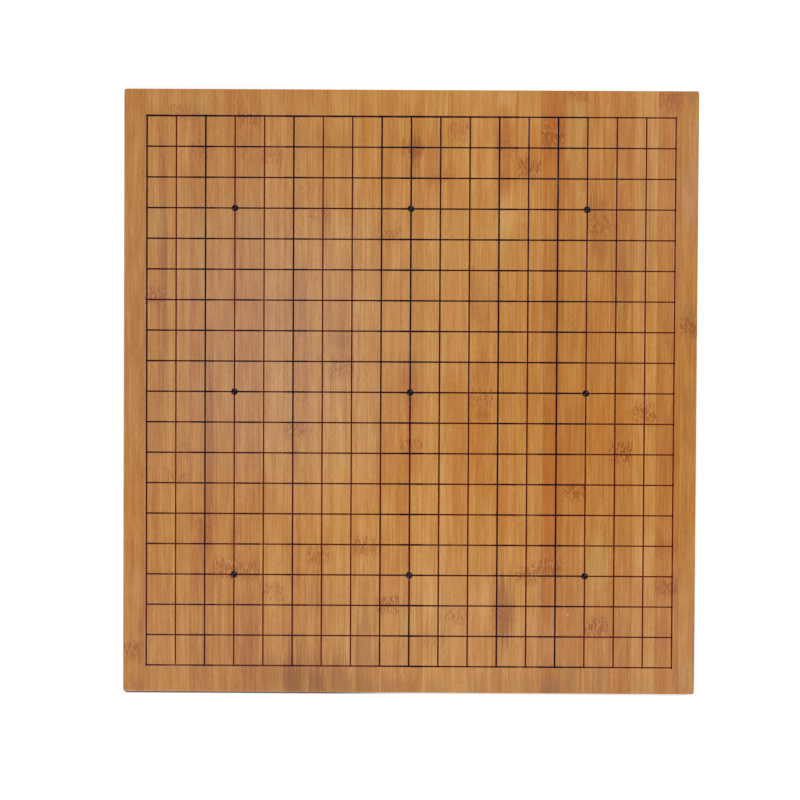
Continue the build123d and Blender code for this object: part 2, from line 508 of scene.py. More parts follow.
def colour(red, green, blue):
    """Linear colour with alpha from display values of 0 to 255."""
    linear = [((value / 255 + 0.055) / 1.055) ** 2.4 for value in (red, green, blue)]
    return (*linear, 1.0)


WHITE = (1.0, 1.0, 1.0, 1.0)
ORIGIN = (0.0, 0.0, 0.0)
DUST_AND_GLINT = colour(196, 182, 168)
# Pale tints of the painted sheen on the grid's paint and on the stars' paint
GRID_PAINTED_SHEEN = colour(190, 150, 215)
STAR_PAINTED_SHEEN = colour(150, 165, 170)
FLOOR_MOTTLE = colour(236, 236, 238)
FLOOR_SHADOW = colour(90, 70, 74)
STAIN_COLOURS = {
    "brown": colour(138, 72, 20),
    "orange": colour(164, 82, 18),
    "red": colour(166, 80, 22),
    "amber": colour(192, 104, 20),
    "olive": colour(130, 84, 8),
    "purple": colour(124, 66, 40),
    "sand": colour(202, 174, 100),
    "ash": colour(188, 152, 122),
    "grey": colour(128, 96, 66),
    "pale": colour(226, 172, 108),
    "speck": colour(250, 240, 224),
}


class BambooSettings(bpy.types.PropertyGroup):
    """Colours and gloss of the varnished bamboo."""

    dark: bpy.props.FloatVectorProperty(
        name="Dark Fibre", description="Colour of the darkest fibres", subtype="COLOR", size=4,
        min=0, max=1, default=colour(160, 88, 21))
    middle: bpy.props.FloatVectorProperty(
        name="Middle Tone", description="Colour of most of the wood", subtype="COLOR", size=4,
        min=0, max=1, default=colour(191, 126, 50))
    light: bpy.props.FloatVectorProperty(
        name="Light Tone", description="Colour of the palest wood", subtype="COLOR", size=4,
        min=0, max=1, default=colour(214, 160, 87))
    warm: bpy.props.FloatVectorProperty(
        name="Warm Streak", description="Colour of the reddest streaks", subtype="COLOR", size=4,
        min=0, max=1, default=colour(188, 102, 27))
    stroke: bpy.props.FloatVectorProperty(
        name="Knuckle Stroke", description="Colour of the wavy strokes at a knuckle", subtype="COLOR",
        size=4, min=0, max=1, default=colour(156, 78, 12))
    fleck: bpy.props.FloatVectorProperty(
        name="Knuckle Fleck", description="Colour of the pale flecks at a knuckle", subtype="COLOR",
        size=4, min=0, max=1, default=colour(222, 168, 86))
    glue: bpy.props.FloatVectorProperty(
        name="Glue", description="Colour of the glue between strips and plies", subtype="COLOR",
        size=4, min=0, max=1, default=colour(104, 62, 30))
    contrast: bpy.props.FloatProperty(
        name="Grain Contrast", description="How strongly light and dark fibres differ",
        subtype="FACTOR", min=0, max=3, default=0.39)
    seam_width: bpy.props.FloatProperty(
        name="Seam Width", description="Width of the hairline of glue beside a strip's edge",
        subtype="DISTANCE", unit="LENGTH", min=0, max=1 * MM, default=0.12 * MM)
    coat_roughness: bpy.props.FloatProperty(
        name="Varnish Roughness", description="Roughness of the clear varnish", subtype="FACTOR",
        min=0, max=1, default=0.14)


class PaintSettings(bpy.types.PropertyGroup):
    """Sizes and colours of the paint in the engraving."""

    black: bpy.props.FloatVectorProperty(
        name="Thick Paint", description="Colour where the paint lies thick", subtype="COLOR", size=4,
        min=0, max=1, default=colour(20, 8, 17))
    thin: bpy.props.FloatVectorProperty(
        name="Thin Paint", description="Colour where the wood shows through the paint",
        subtype="COLOR", size=4, min=0, max=1, default=colour(104, 24, 14))
    stain: bpy.props.FloatVectorProperty(
        name="Stain", description="Colour of the wood that drank paint beside a groove",
        subtype="COLOR", size=4, min=0, max=1, default=colour(70, 26, 18))
    bleed: bpy.props.FloatProperty(
        name="Bleed", description="How far the paint stains the wood beside a groove",
        subtype="DISTANCE", unit="LENGTH", min=0, max=1 * MM, default=0.1 * MM)
    star: bpy.props.FloatVectorProperty(
        name="Star Point Paint", description="Colour of the thick paint in the star points",
        subtype="COLOR", size=4, min=0, max=1, default=colour(20, 17, 17))
    # Colour of the painted highlight beside the lengthwise grooves, which stands in for light off their walls
    rim: bpy.props.FloatVectorProperty(
        name="Raised Rim", description="Colour of the fibres that the cutter raised beside a groove",
        subtype="COLOR", size=4, min=0, max=1, default=colour(200, 176, 178))
    star_diameter: bpy.props.FloatProperty(
        name="Star Point Diameter", description="Width of a star point's hollow at the face",
        subtype="DISTANCE", unit="LENGTH", min=2 * MM, max=10 * MM, default=4.8 * MM)
    star_depth: bpy.props.FloatProperty(
        name="Star Point Depth", description="Depth of a star point's hollow",
        subtype="DISTANCE", unit="LENGTH", min=0.3 * MM, max=3 * MM, default=0.8 * MM)
    star_thickness: bpy.props.FloatProperty(
        name="Paint Thickness", description="Thickness of the paint in a star point",
        subtype="DISTANCE", unit="LENGTH", min=0.05 * MM, max=0.4 * MM, default=0.15 * MM)
    rim_overlap: bpy.props.FloatProperty(
        name="Rim Overlap", description="How far the paint runs out over the hollow's rim",
        subtype="DISTANCE", unit="LENGTH", min=0, max=0.4 * MM, default=0.1 * MM)
    rim_height: bpy.props.FloatProperty(
        name="Rim Height", description="How far the paint stands over the face at the rim",
        subtype="DISTANCE", unit="LENGTH", min=0, max=0.1 * MM, default=0.02 * MM)
    lengthwise_groove: bpy.props.FloatProperty(
        name="Lengthwise Groove", description="Open width of the lengthwise grooves at the face",
        subtype="DISTANCE", unit="LENGTH", min=0, max=2 * MM, default=0.87 * MM)
    crosswise_groove: bpy.props.FloatProperty(
        name="Crosswise Groove", description="Open width of the crosswise grooves at the face",
        subtype="DISTANCE", unit="LENGTH", min=0, max=2 * MM, default=0.77 * MM)


class StageSettings(bpy.types.PropertyGroup):
    """Camera, lamps and floor."""

    lens: bpy.props.FloatProperty(
        name="Lens", description="Focal length of the camera", subtype="DISTANCE_CAMERA",
        min=20, max=300, default=135)
    camera_place: bpy.props.FloatVectorProperty(
        name="Camera Place", description="Place of the camera over the board", subtype="TRANSLATION",
        unit="LENGTH", size=3, default=(0.0051, 0.0889, 2.3746))
    camera_tilt: bpy.props.FloatVectorProperty(
        name="Camera Tilt", description="Small turns of the camera off straight down",
        subtype="EULER", unit="ROTATION", size=3,
        default=(math.radians(-2.306), math.radians(0.316), math.radians(0.31)))
    walls: bpy.props.FloatProperty(
        name="Wall Light", description="Strength of the light from the walls around", min=0, max=2,
        default=0.55)
    ceiling: bpy.props.FloatProperty(
        name="Ceiling Light", description="Strength of the light from straight above", min=0, max=2,
        default=0.14)
    key_power: bpy.props.FloatProperty(
        name="Key Power", description="Power of the large lamp at the upper right", subtype="POWER",
        min=0, max=500, default=56.5)
    fill_power: bpy.props.FloatProperty(
        name="Fill Power", description="Power of the large lamp at the near left", subtype="POWER",
        min=0, max=500, default=48.5)
    sheen: bpy.props.FloatProperty(
        name="Sheen", description="Brightness of the panels that shine back from the varnish",
        min=0, max=5, default=1.0)
    floor: bpy.props.FloatVectorProperty(
        name="Floor", description="Colour of the floor", subtype="COLOR", size=4, min=0, max=1,
        default=(0.82, 0.82, 0.82, 1.0))


class Value:
    """Output of a node. Arithmetic with it adds the nodes that work out the result."""

    def __init__(self, shading, socket):
        self.shading = shading
        self.socket = socket

    def __add__(self, other):
        return self.shading.math("ADD", self, other)

    def __sub__(self, other):
        return self.shading.math("SUBTRACT", self, other)

    def __rsub__(self, other):
        return self.shading.math("SUBTRACT", other, self)

    def __mul__(self, other):
        return self.shading.math("MULTIPLY", self, other)

    def __truediv__(self, other):
        return self.shading.math("DIVIDE", self, other)

    def __gt__(self, other):
        return self.shading.math("GREATER_THAN", self, other)

    def __lt__(self, other):
        return self.shading.math("LESS_THAN", self, other)

    def __abs__(self):
        return self.shading.math("ABSOLUTE", self)

    def __round__(self):
        return self.shading.math("ROUND", self)

    def clamped(self):
        """The same value, held between 0 and 1."""
        self.socket.node.use_clamp = True
        return self


class Shading:
    """A node tree being filled, with short ways to add its nodes."""

    def __init__(self, tree):
        self.tree = tree

    def feed(self, socket, value):
        """Links the socket to another node's output, or gives it a plain value."""
        if isinstance(value, Value):
            self.tree.links.new(value.socket, socket)
        else:
            socket.default_value = value

    def node(self, kind, inputs=None, **settings):
        """Adds a node with its settings and its inputs by name."""
        node = self.tree.nodes.new(kind)
        node.location = (NODE_SPACING * len(self.tree.nodes), 0)
        for name, value in settings.items():
            setattr(node, name, value)
        for name, value in (inputs or {}).items():
            self.feed(node.inputs[name], value)
        return node

    def output(self, result, kind, inputs=None, **settings):
        """Adds a node and returns one of its outputs."""
        return Value(self, self.node(kind, inputs, **settings).outputs[result])

    def outputs(self, kind, inputs=None, **settings):
        """Adds a node and returns its outputs by name."""
        made = self.node(kind, inputs, **settings)
        return {socket.name: Value(self, socket) for socket in made.outputs}

    def math(self, operation, *values):
        """Result of one arithmetic step, on vectors where the first value is one."""
        first = values[0]
        on_vectors = isinstance(first, Value) and first.socket.type == "VECTOR"
        kind, result = ("VectorMath", "Vector") if on_vectors else ("Math", "Value")
        node = self.node(f"ShaderNode{kind}", operation=operation)
        for socket, value in zip(node.inputs, values):
            self.feed(socket, value)
        return Value(self, node.outputs[result])

    def most(self, first, *others):
        """The largest of several values."""
        for other in others:
            first = self.math("MAXIMUM", first, other)
        return first

    def least(self, first, *others):
        """The smallest of several values."""
        for other in others:
            first = self.math("MINIMUM", first, other)
        return first

    def length(self, x, y):
        """Length of a flat vector."""
        return self.math("SQRT", x * x + y * y)

    def ramp(self, value, low, high, start=0.0, end=1.0):
        """Smooth step from start to end as the value goes from low to high."""
        inputs = {"Value": value, "From Min": low, "From Max": high, "To Min": start, "To Max": end}
        return self.output("Result", "ShaderNodeMapRange", inputs, interpolation_type="SMOOTHSTEP")

    def mix(self, factor, first, second):
        """Colour between two colours."""
        node = self.node("ShaderNodeMix", data_type="RGBA")
        for number, value in zip(MIX_INPUTS, (factor, first, second), strict=True):
            self.feed(node.inputs[number], value)
        return Value(self, node.outputs[MIX_OUTPUT])

    def combine(self, x, y, z):
        """Vector from three values."""
        return self.output("Vector", "ShaderNodeCombineXYZ", {"X": x, "Y": y, "Z": z})

    def split(self, vector):
        """The three values of a vector, by axis."""
        return self.outputs("ShaderNodeSeparateXYZ", {"Vector": vector})

    def noise(self, position, width, length, detail=1):
        """Noise around zero that is as wide and as long as given, in the units of the position."""
        inputs = {"Vector": position / (width, length, width), "Scale": 1.0, "Detail": detail}
        return self.output("Fac", "ShaderNodeTexNoise", inputs) - 0.5

    def group(self, name, inputs):
        """Places one of the shared groups and returns its outputs by name."""
        return self.outputs("ShaderNodeGroup", inputs, node_tree=bpy.data.node_groups[name])


def new_group(name, inputs):
    """Starts a shared group. Each input's kind follows from its default: a number, a vector or a
    colour. Returns the tree to fill and the inputs by name."""
    tree = bpy.data.node_groups.new(name, "ShaderNodeTree")
    for socket, default in inputs.items():
        kind = "Float"
        if isinstance(default, tuple):
            kind = "Vector" if len(default) == 3 else "Color"
        made = tree.interface.new_socket(socket, in_out="INPUT", socket_type=f"NodeSocket{kind}")
        made.default_value = default
    shading = Shading(tree)
    return shading, shading.outputs("NodeGroupInput")


def close_group(shading, results):
    """Gives the group its outputs, a colour or numbers, and feeds them."""
    for socket in results:
        kind = "Color" if socket == "Color" else "Float"
        shading.tree.interface.new_socket(socket, in_out="OUTPUT", socket_type=f"NodeSocket{kind}")
    shading.node("NodeGroupOutput", results)


def jump(shading, seed, *steps):
    """Offset that gives each seed its own part of a pattern."""
    return shading.combine(*(seed * step for step in steps))


def build_grain():
    """Straight bamboo grain along Y: pale ground, long streaks of several widths, and bundles of dark
    fibres."""
    shading, given = new_group("Bamboo Grain", {
        "Position": ORIGIN, "Seed": 0.0, "Tone": 0.0, "Contrast": 1.0, "Dark": WHITE,
        "Middle": WHITE, "Light": WHITE, "Warm": WHITE, "Warmth": 0.4,
    })
    straight = given["Position"] * PER_METRE + jump(shading, given["Seed"], 37.7, 531.0, 91.3)
    sway = shading.noise(straight, *SWAY_SIZE_MM) * SWAY_MM
    position = straight + shading.combine(sway, 0.0, 0.0)
    total = 0.0
    for width, length, detail, weight in GRAIN_LAYERS_MM:
        total = shading.noise(position, width, length, detail) * weight + total
    off_fibre = shading.output("Distance", "ShaderNodeTexVoronoi", {
        "Vector": position / BUNDLE_SIZE_MM, "Scale": 1.0, "Randomness": 0.9,
    })
    bundle = shading.ramp(off_fibre, 0.1, 0.42, 1.0, 0.0)
    height = (total - bundle * BUNDLE_DARKNESS) * given["Contrast"]
    level = height + (given["Tone"] * TONE_STEP + MIDDLE_LEVEL)
    wood = shading.mix((level * 2.0).clamped(), given["Dark"], given["Middle"])
    wood = shading.mix((level * 2.0 - 1.0).clamped(), wood, given["Light"])
    streaks = shading.noise(position, 3.6, 150, detail=2) + shading.noise(position, 0.8, 45) * 0.9
    warmth = shading.ramp(streaks, -0.14, 0.34) * given["Warmth"]
    close_group(shading, {"Color": shading.mix(warmth, wood, given["Warm"]), "Height": height})


def build_knuckle():
    """A knuckle across a strip: dark flames of bent fibre that taper away from its middle, fine wavy
    strokes between them, and pale flecks."""
    shading, given = new_group("Bamboo Knuckle", {
        "Color": WHITE, "Position": ORIGIN, "Seed": 0.0, "Place": 0.0, "Half Length": 0.008,
        "Strength": 0.5, "Stroke": WHITE, "Fleck": WHITE,
    })
    position = given["Position"] * PER_METRE + jump(shading, given["Seed"], 13.1, 71.7, 29.9)
    ragged = shading.noise(position, 2.4, 9) * KNUCKLE_RAGGEDNESS
    along = shading.split(given["Position"])["Y"] - given["Place"]
    away = abs(along + ragged) / given["Half Length"]
    band = shading.ramp(away, 0.6, 1.35, 1.0, 0.0)
    mask = band * given["Strength"]
    bend = shading.noise(position, 5, 4) * KNUCKLE_BEND_MM
    bent = position + shading.combine(bend, 0.0, 0.0)
    flames = shading.ramp(shading.noise(bent, 1.0, 5.5) - away * 0.15, -0.05, 0.05)
    contour = abs(shading.noise(bent, 1.7, 4.4))
    waves = shading.ramp(contour, 0.02, 0.08, 0.8, 0.0)
    strokes = shading.most(flames, waves)
    shade = strokes * (1.0 - KNUCKLE_GROUND) + KNUCKLE_GROUND
    marked = shading.mix(mask * shade, given["Color"], given["Stroke"])
    pale = shading.ramp(shading.noise(bent, 1.0, 3.8), -0.2, -0.05, 0.5, 0.0)
    result = shading.mix(mask * pale, marked, given["Fleck"])
    close_group(shading, {"Color": result, "Height": mask * strokes})


def build_stain():
    """A smudge in the wood, ragged along the grain."""
    shading, given = new_group("Bamboo Stain", {
        "Color": WHITE, "Position": ORIGIN, "Seed": 0.0, "Centre": ORIGIN,
        "Half Size": (0.005, 0.01, 1.0), "Strength": 0.5, "Stain": WHITE, "Raggedness": 1.0,
    })
    away = shading.split((given["Position"] - given["Centre"]) / given["Half Size"])
    position = given["Position"] * PER_METRE + jump(shading, given["Seed"], 17.3, 0.0, 1.0)
    ragged = shading.noise(position, 1.5, 34, detail=2) * STAIN_RAGGEDNESS * given["Raggedness"]
    distance = shading.length(away["X"], away["Y"]) + ragged
    mask = shading.ramp(distance, 0.3, 1.15, 1.0, 0.0) * given["Strength"]
    close_group(shading, {"Color": shading.mix(mask, given["Color"], given["Stain"])})


def build_seam():
    """The hairline of glue at a strip's two long edges."""
    shading, given = new_group("Glue Seam", {
        "Color": WHITE, "Across": 0.0, "Low": 0.0, "High": 0.0, "Width": 0.0001, "Glue": WHITE,
        "Strength": 0.5,
    })
    nearest = shading.least(given["Across"] - given["Low"], given["High"] - given["Across"])
    mask = shading.ramp(nearest / given["Width"], 0.6, 1.6, 1.0, 0.0) * given["Strength"]
    close_group(shading, {"Color": shading.mix(mask, given["Color"], given["Glue"])})


def off_nearest(value, pitch):
    """How far a value lies from the nearest whole multiple of the pitch."""
    return abs(value - round(value / pitch) * pitch)


def towards_far_right(place):
    """How far a place lies towards the board's far right corner, in metres."""
    return place["X"] * 0.7 + place["Y"]


def build_bleed():
    """Wood stained by the paint beside the grooves and round the star points, most at their edges. The
    more paint a groove holds, the wider and darker its stain. The farthest crosswise line was painted
    twice on its left part."""
    shading, given = new_group("Paint Bleed", {
        "Color": WHITE, "Position": ORIGIN, "Pitch X": 0.02, "Pitch Y": 0.02, "Reach X": 0.2,
        "Reach Y": 0.2, "Half Groove": 0.0005, "Bleed": 0.0002, "Stain": WHITE,
        "Crosswise Paint": 0.5, "Lengthwise Paint": 0.5, "Star Pitch X": 0.1, "Star Pitch Y": 0.1,
        "Star Radius": 0.0024,
    })
    place = shading.split(given["Position"])
    uneven = shading.noise(given["Position"] * PER_METRE, 1.5, 3, detail=2) * 2.0 + 1.0
    reach = uneven * given["Bleed"]
    past_last = place["Y"] - (given["Reach Y"] - SECOND_COAT_REACH)
    on_last = shading.ramp(past_last, 0.0, 1 * MM, 0.0, SECOND_COAT)
    twice = on_last * shading.ramp(place["X"], *SECOND_COAT_END, 1.0, 0.0)
    crosswise = given["Crosswise Paint"] + twice
    lengthwise = given["Lengthwise Paint"] + LENGTHWISE_EXTRA
    beside = []
    for along, across, amount in (("X", "Y", crosswise), ("Y", "X", lengthwise)):
        off_line = off_nearest(place[across], given[f"Pitch {across}"])
        past_end = abs(place[along]) - given[f"Reach {along}"]
        past_side = abs(place[across]) - given[f"Reach {across}"]
        outside = shading.most(off_line, past_end, past_side) - given["Half Groove"]
        fade = shading.ramp(outside / (reach * (amount * 1.2 + 0.3)), 0.3, 2.0, 1.0, 0.0)
        beside.append(fade * (amount * 0.6 + 0.25).clamped())
    off_star = [off_nearest(place[axis], given[f"Star Pitch {axis}"]) for axis in "XY"]
    outside_star = shading.length(*off_star) - given["Star Radius"]
    beside_star = shading.ramp(outside_star / reach, 1.5, 6.0, 0.85, 0.0)
    mask = shading.most(*beside, beside_star)
    close_group(shading, {"Color": shading.mix(mask, given["Color"], given["Stain"])})


def build_rim_highlight():
    """Painted highlight along the left side of the lengthwise grooves, most towards the far right,
    standing in for light off the groove walls."""
    shading, given = new_group("Raised Rim", {
        "Color": WHITE, "Position": ORIGIN, "Pitch": 0.02, "Reach X": 0.2, "Reach Y": 0.2,
        "Half Groove": 0.0005, "Width": 0.0004, "Rim": WHITE, "Strength": 0.5,
    })
    place = shading.split(given["Position"])
    to_line = round(place["X"] / given["Pitch"]) * given["Pitch"] - place["X"]
    outside = to_line - given["Half Groove"]
    uneven = shading.noise(given["Position"] * PER_METRE, 2, 9, detail=2)
    conditions = (
        shading.ramp(outside / given["Width"], 0.6, 1.4, 1.0, 0.0),
        to_line > 0.0,
        shading.ramp(towards_far_right(place), *RIM_HIGHLIGHT_GROWTH),
        abs(place["Y"]) < given["Reach Y"],
        place["X"] + given["Reach X"] > 0.0,
        shading.ramp(uneven, -0.15, 0.1, 0.25, 1.0),
    )
    mask = given["Strength"]
    for condition in conditions:
        mask = mask * condition
    close_group(shading, {"Color": shading.mix(mask, given["Color"], given["Rim"])})


def build_edge_wear():
    """Rubbed varnish along the board's outer edges: paler, and rougher by the mask."""
    shading, given = new_group("Edge Wear", {
        "Color": WHITE, "Position": ORIGIN, "Half Width": 0.2, "Half Length": 0.2,
        "Thickness": 0.02, "Worn": WHITE, "Strength": 0.5,
    })
    place = shading.split(given["Position"])
    from_side = given["Half Width"] - abs(place["X"])
    from_end = given["Half Length"] - abs(place["Y"])
    from_face = shading.least(given["Thickness"] - place["Z"], place["Z"])
    nearest = shading.least(from_side + from_face, from_end + from_face, from_side + from_end)
    uneven = shading.noise(given["Position"] * PER_METRE, 6, 6, detail=3) * EDGE_WEAR_RAGGEDNESS
    rubbed = shading.ramp(nearest + uneven, *EDGE_WEAR_FADE, 1.0, 0.0)
    mask = rubbed * given["Strength"]
    close_group(shading, {"Color": shading.mix(mask, given["Color"], given["Worn"]), "Mask": mask})


def build_paint():
    """Paint brushed into the engraving: thick and thin stretches, pools where lines cross and at the
    right ends of the crosswise lines, a thinner coat towards the near end, a pale painted sheen at the far
    right and the near left that stands in for reflected haze, and pale dust whose specks also stand in for
    painted glints."""
    shading, given = new_group("Brushed Paint", {
        "Position": ORIGIN, "Thick": WHITE, "Thin": WHITE, "Dust": WHITE, "Bloom": WHITE,
        "Thickness": 0.5, "Dustiness": 0.2, "Pitch X": 0.02, "Pitch Y": 0.02,
    })
    place = shading.split(given["Position"])
    millimetres = given["Position"] * PER_METRE
    stretches = shading.noise(millimetres, 9, 30, detail=2)
    streaks = shading.noise(millimetres, 1.2, 5, detail=2)
    near_end = shading.ramp(place["Y"], *NEAR_END, NEAR_END_COVER, 0.0)
    off_lines = [off_nearest(place[axis], given[f"Pitch {axis}"]) for axis in "XY"]
    crossing = shading.ramp(shading.most(*off_lines), *POOL_FADE, 1.0, 0.0)
    pools = crossing * shading.ramp(place["X"], *RIGHT_ENDS, *POOL_COVER)
    cover = given["Thickness"] + near_end + pools + stretches * 0.7 + streaks * 0.6
    body = shading.mix(shading.ramp(cover, 0.0, 1.0), given["Thin"], given["Thick"])
    # Painted sheen: towards the far right and the near left the paint goes pale, standing in for reflected haze
    far_right_sheen = shading.ramp(towards_far_right(place), *FAR_RIGHT_RISE, 0.0, FAR_RIGHT_PAINTED_SHEEN)
    near_left_sheen = shading.ramp(place["X"] + place["Y"], *NEAR_LEFT_FADE, NEAR_LEFT_PAINTED_SHEEN, 0.0)
    body = shading.mix(far_right_sheen + near_left_sheen, body, given["Bloom"])
    # Pale dust in the paint; its specks also stand in for painted glints along the lines
    grains = shading.noise(millimetres, 0.55, 0.55)
    clouds = shading.noise(millimetres, 22, 22)
    dust_and_glint = shading.ramp(grains + clouds * 0.8, 0.2, 0.34) * given["Dustiness"]
    rough = dust_and_glint * 0.4 + shading.ramp(cover, 0.1, 0.9, *PAINT_ROUGHNESS)
    close_group(shading, {
        "Color": shading.mix(dust_and_glint, body, given["Dust"]), "Roughness": rough, "Height": streaks,
    })


GROUP_BUILDERS = (
    build_grain, build_knuckle, build_stain, build_seam, build_bleed, build_rim_highlight, build_edge_wear,
    build_paint,
)


def shared_groups():
    """Builds the shared shader groups once."""
    if "Bamboo Grain" not in bpy.data.node_groups:
        for build in GROUP_BUILDERS:
            build()


def new_material(name):
    """Empty material with its tree to fill."""
    material = bpy.data.materials.new(name)
    material.use_nodes = True
    material.node_tree.nodes.clear()
    return material, Shading(material.node_tree)


def finish_material(shading, inputs, height=None, relief_mm=0.0):
    """Adds the surface shader, over a bump of the given relief, and the material's output."""
    if height is not None:
        bump = {"Strength": 1.0, "Distance": relief_mm * MM, "Height": height}
        inputs = {**inputs, "Normal": shading.output("Normal", "ShaderNodeBump", bump)}
    surface = shading.output("BSDF", "ShaderNodeBsdfPrincipled", inputs)
    shading.node("ShaderNodeOutputMaterial", {"Surface": surface})


def object_position(shading):
    """Place on the board, in metres."""
    return shading.output("Object", "ShaderNodeTexCoord")


def grain_of(shading, bamboo, position, seed, tone, warmth):
    """Bare wood in the board's colours. Returns its colour and its height."""
    grain = shading.group("Bamboo Grain", {
        "Position": position, "Seed": seed, "Tone": tone, "Contrast": bamboo.contrast,
        "Dark": bamboo.dark, "Middle": bamboo.middle, "Light": bamboo.light, "Warm": bamboo.warm,
        "Warmth": warmth,
    })
    return grain["Color"], grain["Height"]


def stained(shading, position, wood, seed, centre_mm, half_size_mm, strength, kind, raggedness=1.0):
    """Wood with one stain or speck in it. Places and sizes are across and along the board."""
    across, along = centre_mm
    half_width, half_length = half_size_mm
    return shading.group("Bamboo Stain", {
        "Color": wood, "Position": position, "Seed": seed, "Centre": (across * MM, along * MM, 0),
        "Half Size": (half_width * MM, half_length * MM, 1), "Strength": strength,
        "Stain": STAIN_COLOURS[kind], "Raggedness": raggedness,
    })["Color"]


def seamed(shading, bamboo, wood, across, low, high, strength):
    """Wood with the hairlines of glue at a strip's edges."""
    return shading.group("Glue Seam", {
        "Color": wood, "Across": across, "Low": low, "High": high, "Width": bamboo.seam_width,
        "Glue": bamboo.glue, "Strength": strength,
    })["Color"]


def stained_by_paint(shading, paint, position, wood, crosswise, lengthwise):
    """Wood with a painted highlight along the lengthwise grooves and the stain that the paint leaves
    beside the grooves, by how much paint the crosswise and the lengthwise grooves hold."""
    pitch_x = SQUARE_WIDTH_MM * MM
    pitch_y = SQUARE_LENGTH_MM * MM
    grid = {
        "Position": position, "Reach X": MIDDLE_LINE * pitch_x, "Reach Y": MIDDLE_LINE * pitch_y,
        "Half Groove": GROOVE_WIDTH_MM * MM / 2,
    }
    rim_highlighted = shading.group("Raised Rim", {
        **grid, "Color": wood, "Pitch": pitch_x, "Width": RIM_HIGHLIGHT_WIDTH_MM * MM, "Rim": paint.rim,
        "Strength": RIM_HIGHLIGHT_STRENGTH,
    })
    return shading.group("Paint Bleed", {
        **grid, "Color": rim_highlighted["Color"], "Pitch X": pitch_x, "Pitch Y": pitch_y,
        "Bleed": paint.bleed, "Stain": paint.stain, "Crosswise Paint": crosswise,
        "Lengthwise Paint": lengthwise, "Star Pitch X": STAR_LINES[-1] * pitch_x,
        "Star Pitch Y": STAR_LINES[-1] * pitch_y, "Star Radius": paint.star_diameter / 2,
    })["Color"]


def varnish(shading, bamboo, position, wood, height):
    """Closes a bamboo material: a slight relief of fibres, rubbed outer edges and satin varnish."""
    worn = shading.group("Edge Wear", {
        "Color": wood, "Position": position, "Half Width": HALF_WIDTH, "Half Length": HALF_LENGTH,
        "Thickness": FACE_Z, "Worn": bamboo.light, "Strength": EDGE_WEAR,
    })
    wear = worn["Mask"]
    finish_material(shading, {
        "Base Color": worn["Color"],
        "Roughness": wear * WORN_ROUGHNESS + shading.ramp(height, -0.5, 0.5, *WOOD_ROUGHNESS),
        "Specular IOR Level": WOOD_REFLECTION,
        "Coat Weight": 1.0 - wear * WORN_VARNISH,
        "Coat Roughness": bamboo.coat_roughness,
        "Coat IOR": VARNISH_IOR,
    }, height, relief_mm=FIBRE_RELIEF_MM)


def groove_paint(middle):
    """How thick the paint lies in the lengthwise groove nearest to a place across the board."""
    return LINE_PAINT[MIDDLE_LINE + round(middle / (SQUARE_WIDTH_MM * MM))]


def strip_material(
    name, bamboo, seed, tone, warmth, knuckles_mm=(), stains_mm=(), specks_mm=(), paint=None,
    paint_rating=0.0,
):
    """Varnished bamboo for one lengthwise strip, with its own knuckles, stains and specks. A strip
    of the face is also stained by the paint in its grooves, more where the paint lies thick."""
    material, shading = new_material(name)
    low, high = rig.box(name)
    middle = (low.x + high.x) / 2
    position = object_position(shading)
    wood, height = grain_of(shading, bamboo, position, seed, tone, warmth)
    for number, row in enumerate(stains_mm):
        stain = Stain(*row)
        across = round(middle / MM) if stain.across is None else stain.across
        wood = stained(
            shading, position, wood, seed + number, (across, stain.along),
            (stain.half_width, stain.half_length), stain.strength, stain.kind)
    for number, (along, half_length, strength) in enumerate(knuckles_mm):
        knuckle = shading.group("Bamboo Knuckle", {
            "Color": wood, "Position": position, "Seed": seed + 3 * number, "Place": along * MM,
            "Half Length": half_length * MM, "Strength": strength, "Stroke": bamboo.stroke,
            "Fleck": bamboo.fleck,
        })
        wood = knuckle["Color"]
        height = height - knuckle["Height"]
    for across, along, half_size in specks_mm:
        wood = stained(
            shading, position, wood, seed, (across, along), (half_size, half_size), SPECK_STRENGTH,
            "speck", SPECK_RAGGEDNESS)
    wood = seamed(
        shading, bamboo, wood, shading.split(position)["X"], low.x, high.x, STRIP_SEAM_STRENGTH)
    if paint is not None:
        lengthwise = groove_paint(middle)
        wood = stained_by_paint(shading, paint, position, wood, paint_rating, lengthwise)
    varnish(shading, bamboo, position, wood, height)
    return material


def give(node_name, material):
    """Puts a material on one node of the model."""
    for slot in frame["nodes"][node_name].material_slots:
        slot.material = material


class FacePly(bpy.types.Operator):
    """Gives each strip of the face ply its own bamboo, with the knuckles and stains of that strip"""

    bl_idname = "weiqi_board.face_ply"
    bl_label = "Face Ply"

    def execute(self, context):
        shared_groups()
        bamboo = context.scene.weiqi_bamboo
        ratings = zip(FACE_STRIPS, FACE_TONES, FACE_WARMTH, FACE_PAINT, strict=True)
        for number, (name, tone, warmth, paint_rating) in enumerate(ratings, start=1):
            give(name, strip_material(
                name, bamboo, number, tone, warmth, FACE_KNUCKLES_MM.get(number, ()),
                FACE_STAINS_MM.get(number, ()), SPECKS_MM.get(number, ()), context.scene.weiqi_paint,
                paint_rating))
        return {"FINISHED"}


def chance_knuckles(chance, half_length_mm):
    """Knuckles along one strip at the spacing that bamboo grows, from a seeded chance."""
    knuckles = []
    place = -half_length_mm + chance.uniform(0, KNUCKLE_SPACING_MM[1])
    while place < half_length_mm:
        half_length = chance.uniform(*BACK_KNUCKLE_HALF_MM)
        knuckles.append((place, half_length, chance.uniform(*BACK_KNUCKLE_STRENGTH)))
        place += chance.uniform(*KNUCKLE_SPACING_MM)
    return knuckles


